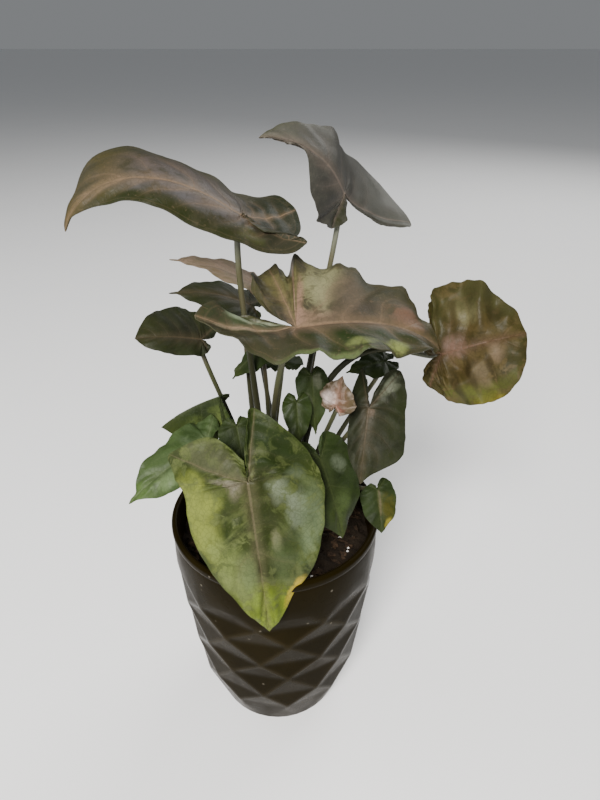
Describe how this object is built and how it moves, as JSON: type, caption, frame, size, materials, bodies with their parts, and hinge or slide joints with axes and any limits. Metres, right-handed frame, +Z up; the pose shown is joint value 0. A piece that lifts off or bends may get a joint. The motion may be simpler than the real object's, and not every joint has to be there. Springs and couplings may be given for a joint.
{
  "type": "potted plant",
  "caption": "Arrowhead plant with bronze, purple and green arrow-shaped leaves on thin stalks, rooted in soil in a dark faceted plastic pot.",
  "frame": {"origin": "middle of the pot's flat foot, on the surface that it stands on", "axes": "+Z up; -Y towards the side seen in the picture, +X to its right"},
  "size_m": [0.1944, 0.1265, 0.3246],
  "materials": {
    "pot": "smooth dark olive-brown plastic, softly glossy",
    "soil": "loose potting soil with bark",
    "petiole": "smooth green stalk",
    "leaf_bronze": "satin bronze-green blade",
    "leaf_purple": "satin purple-grey blade",
    "leaf_olive": "satin olive blade",
    "leaf_green": "satin green blade",
    "leaf_light_green": "satin light green mottled blade",
    "leaf_pink": "satin pink young blade"
  },
  "bodies": {
    "root": {"pot": "pot", "soil": "soil", "leaf_upper_left": "leaf_bronze", "leaf_upper_right": "leaf_purple", "leaf_centre": "leaf_bronze", "leaf_right": "leaf_olive", "leaf_front": "leaf_light_green", "leaf_low_left": "leaf_green", "leaf_left_folded": "leaf_green", "leaf_mid_left": "leaf_olive", "leaf_dark_left": "leaf_purple", "leaf_pale_left": "leaf_pink", "leaf_inner_left": "leaf_green", "leaf_small_front": "leaf_green", "leaf_small_centre": "leaf_green", "leaf_front_right": "leaf_green", "leaf_hanging_right": "leaf_green", "leaf_rim_right": "leaf_olive", "leaf_pink_young": "leaf_pink", "leaf_streaked": "leaf_green", "leaf_inner_right": "leaf_green", "leaf_back_left": "leaf_green", "leaf_back_right": "leaf_green", "petiole_upper_left": "petiole", "petiole_upper_right": "petiole", "petiole_centre": "petiole", "petiole_right": "petiole", "petiole_front": "petiole", "petiole_low_left": "petiole", "petiole_left_folded": "petiole", "petiole_mid_left": "petiole", "petiole_dark_left": "petiole", "petiole_pale_left": "petiole", "petiole_inner_left": "petiole", "petiole_small_front": "petiole", "petiole_small_centre": "petiole", "petiole_front_right": "petiole", "petiole_hanging_right": "petiole", "petiole_rim_right": "petiole", "petiole_pink_young": "petiole", "petiole_streaked": "petiole", "petiole_inner_right": "petiole", "petiole_back_left": "petiole", "petiole_back_right": "petiole"}
  },
  "joints": []
}
